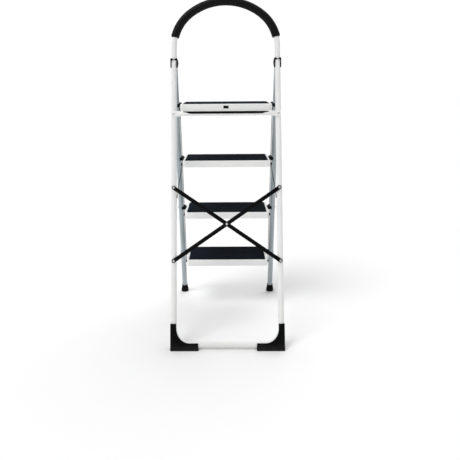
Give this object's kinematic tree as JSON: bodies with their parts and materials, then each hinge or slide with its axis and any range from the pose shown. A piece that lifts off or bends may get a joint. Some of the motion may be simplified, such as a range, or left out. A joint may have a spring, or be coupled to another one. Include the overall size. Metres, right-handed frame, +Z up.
{
  "type": "step ladder",
  "caption": "Folding steel step ladder with a padded handrail hoop, a wide top platform, ribbed treads and a braced rear frame.",
  "frame": {"origin": "on the floor under the middle of the open ladder's bounding box", "axes": "+Z up, +Y towards the climbing side, +X to the right seen from the braced rear side"},
  "size_m": [0.493, 0.7, 1.4933],
  "materials": {
    "white_paint": "glossy white powder coat",
    "grey_paint": "light blue-grey powder coat",
    "black_paint": "matt black powder coat",
    "black_plastic": "fine-grained moulded plastic",
    "foot_rubber": "matt moulded rubber",
    "tread_rubber": "ribbed blue-black rubber",
    "foam_grip": "soft closed-cell foam sleeve",
    "zinc_steel": "bright zinc plating"
  },
  "bodies": {
    "rear_frame": {"rear_u_tube": "white_paint", "hoop_tube": "white_paint", "hoop_grip": "foam_grip", "cross_tube": "white_paint", "rest_strip": "foot_rubber", "brace_bar_inner": "black_paint", "brace_bar_outer": "black_paint", "brace_centre_rivet": "zinc_steel", "brace_rivet_top_left": "zinc_steel", "brace_rivet_top_right": "zinc_steel", "brace_rivet_bottom_left": "zinc_steel", "brace_rivet_bottom_right": "zinc_steel", "corner_foot_left": "foot_rubber", "corner_foot_right": "foot_rubber", "hinge_bracket_left": "black_plastic", "hinge_bracket_right": "black_plastic", "main_pivot_bolt_left": "zinc_steel", "main_pivot_bolt_right": "zinc_steel", "hoop_screw_left": "zinc_steel", "hoop_screw_right": "zinc_steel", "hoop_plug_left": "black_plastic", "hoop_plug_right": "black_plastic", "cross_tube_rivet_left": "zinc_steel", "cross_tube_rivet_right": "zinc_steel", "link_pin_left": "zinc_steel", "link_pin_right": "zinc_steel"},
    "front_frame": {"rail_left": "grey_paint", "rail_right": "grey_paint", "front_foot_left": "foot_rubber", "front_foot_right": "foot_rubber", "tread_4_bolt_left": "zinc_steel", "tread_4_bolt_right": "zinc_steel", "tread_4_saddle_left": "black_plastic", "tread_4_saddle_right": "black_plastic", "tread_3_bolt_left": "zinc_steel", "tread_3_bolt_right": "zinc_steel", "tread_3_saddle_left": "black_plastic", "tread_3_saddle_right": "black_plastic", "tread_2_bolt_left": "zinc_steel", "tread_2_bolt_right": "zinc_steel", "tread_2_saddle_left": "black_plastic", "tread_2_saddle_right": "black_plastic", "platform_bolt_left": "zinc_steel", "platform_bolt_right": "zinc_steel", "platform_saddle_left": "black_plastic", "platform_saddle_right": "black_plastic"},
    "platform": {"platform_pan": "white_paint", "platform_pad": "tread_rubber", "latch_spring": "zinc_steel"},
    "tread_2": {"tread_2_pan": "white_paint", "tread_2_pad": "tread_rubber"},
    "tread_3": {"tread_3_pan": "white_paint", "tread_3_pad": "tread_rubber"},
    "tread_4": {"tread_4_pan": "white_paint", "tread_4_pad": "tread_rubber"},
    "tie_bars": {"tie_bar_left": "black_paint", "tie_bar_right": "black_paint"},
    "link_bars": {"link_bar_left": "black_paint", "link_bar_right": "black_paint"},
    "latch": {"latch_lever": "black_plastic"}
  },
  "joints": [
    {"name": "frame_fold", "type": "hinge", "parent": "rear_frame", "child": "front_frame", "pos_m": [0, -0.0545, 1.20493], "axis": [-1, 0, 0], "range_deg": [0, 29]},
    {"name": "platform_turn", "type": "hinge", "parent": "front_frame", "child": "platform", "pos_m": [0, 0.00586, 1.0158], "axis": [-1, 0, 0], "range_deg": [0, 70.81]},
    {"name": "tread_2_turn", "type": "hinge", "parent": "front_frame", "child": "tread_2", "pos_m": [0, 0.08877, 0.756], "axis": [-1, 0, 0], "range_deg": [0, 70.81]},
    {"name": "tread_3_turn", "type": "hinge", "parent": "front_frame", "child": "tread_3", "pos_m": [0, 0.17168, 0.4962], "axis": [-1, 0, 0], "range_deg": [0, 70.81]},
    {"name": "tread_4_turn", "type": "hinge", "parent": "front_frame", "child": "tread_4", "pos_m": [0, 0.2546, 0.2364], "axis": [-1, 0, 0], "range_deg": [0, 70.81]},
    {"name": "tie_turn", "type": "hinge", "parent": "tread_2", "child": "tie_bars", "pos_m": [0, -0.01123, 0.7425], "axis": [-1, 0, 0], "range_deg": [-70.81, 0]},
    {"name": "link_turn", "type": "hinge", "parent": "rear_frame", "child": "link_bars", "pos_m": [0, -0.20353, 0.62832], "axis": [-1, 0, 0], "range_deg": [-43.7, 0]},
    {"name": "latch_press", "type": "hinge", "parent": "platform", "child": "latch", "pos_m": [0, -0.12364, 1.0173], "axis": [1, 0, 0], "range_deg": [-14, 0], "stiffness_Nm_per_rad": 0.12, "springref_deg": -14}
  ],
  "couplings": [
    {"joint": "platform_turn", "follows": "frame_fold", "ratio": 2.44},
    {"joint": "tread_2_turn", "follows": "frame_fold", "ratio": 2.44},
    {"joint": "tread_3_turn", "follows": "frame_fold", "ratio": 2.44},
    {"joint": "tread_4_turn", "follows": "frame_fold", "ratio": 2.44},
    {"joint": "tie_turn", "follows": "frame_fold", "ratio": -2.44},
    {"joint": "link_turn", "follows": "frame_fold", "ratio": -1.5051}
  ]
}
